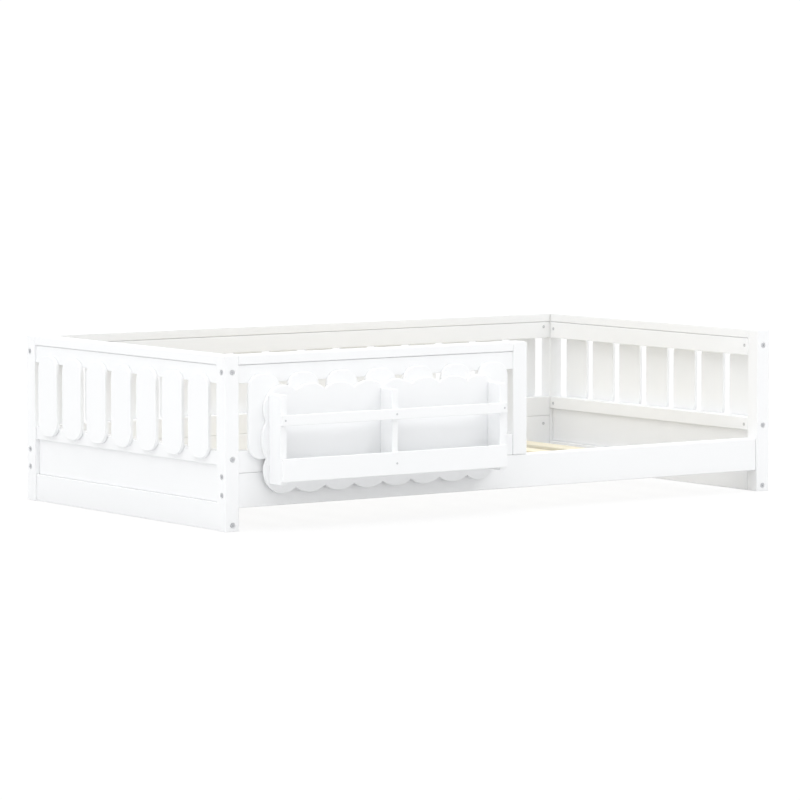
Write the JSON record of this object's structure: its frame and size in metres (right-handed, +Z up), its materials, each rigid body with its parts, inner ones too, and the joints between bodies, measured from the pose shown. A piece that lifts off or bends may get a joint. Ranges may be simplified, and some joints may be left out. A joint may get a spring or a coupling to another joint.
{
  "type": "toddler bed",
  "caption": "Low white wooden floor bed with round-ended picket fences, an open entry in the front guard and a scalloped two-bay bookshelf hung on it.",
  "frame": {"origin": "on the floor, under the middle of the bed with its bookshelf", "axes": "+X along the bed from the guarded end of the front to the open end, +Y from the front, where the bookshelf hangs, to the rear, +Z up"},
  "size_m": [2.0206, 1.1956, 0.5],
  "materials": {
    "white_paint": "satin white paint on pine and board",
    "natural_pine": "planed and unpainted",
    "zinc_steel": "zinc plated fasteners"
  },
  "bodies": {
    "root": {"bookshelf_back_panel": "white_paint", "bookshelf_divider": "white_paint", "bookshelf_floor": "white_paint", "bookshelf_front_bar": "white_paint", "bookshelf_front_board": "white_paint", "bookshelf_left_side": "white_paint", "bookshelf_right_side": "white_paint", "front_left_post": "white_paint", "front_right_post": "white_paint", "rear_left_post": "white_paint", "rear_right_post": "white_paint", "front_side_rail": "white_paint", "rear_side_rail": "white_paint", "rear_fence_panel": "white_paint", "guard_low_rail": "white_paint", "guard_top_rail": "white_paint", "guard_stile": "white_paint", "guard_picket_1": "white_paint", "guard_picket_2": "white_paint", "guard_picket_3": "white_paint", "guard_picket_4": "white_paint", "guard_picket_5": "white_paint", "guard_picket_6": "white_paint", "guard_picket_7": "white_paint", "left_end_floor_board": "white_paint", "left_end_middle_board": "white_paint", "left_end_low_rail": "white_paint", "left_end_top_rail": "white_paint", "left_end_picket_1": "white_paint", "left_end_picket_2": "white_paint", "left_end_picket_3": "white_paint", "left_end_picket_4": "white_paint", "left_end_picket_5": "white_paint", "left_end_picket_6": "white_paint", "left_end_picket_7": "white_paint", "right_end_floor_board": "white_paint", "right_end_middle_board": "white_paint", "right_end_low_rail": "white_paint", "right_end_top_rail": "white_paint", "right_end_picket_1": "white_paint", "right_end_picket_2": "white_paint", "right_end_picket_3": "white_paint", "right_end_picket_4": "white_paint", "right_end_picket_5": "white_paint", "right_end_picket_6": "white_paint", "right_end_picket_7": "white_paint", "front_slat_ledger": "natural_pine", "rear_slat_ledger": "natural_pine", "slat_1": "natural_pine", "slat_2": "natural_pine", "slat_3": "natural_pine", "slat_4": "natural_pine", "slat_5": "natural_pine", "slat_6": "natural_pine", "slat_7": "natural_pine", "slat_8": "natural_pine", "slat_9": "natural_pine", "slat_10": "natural_pine", "slat_11": "natural_pine", "slat_12": "natural_pine"}
  },
  "joints": []
}
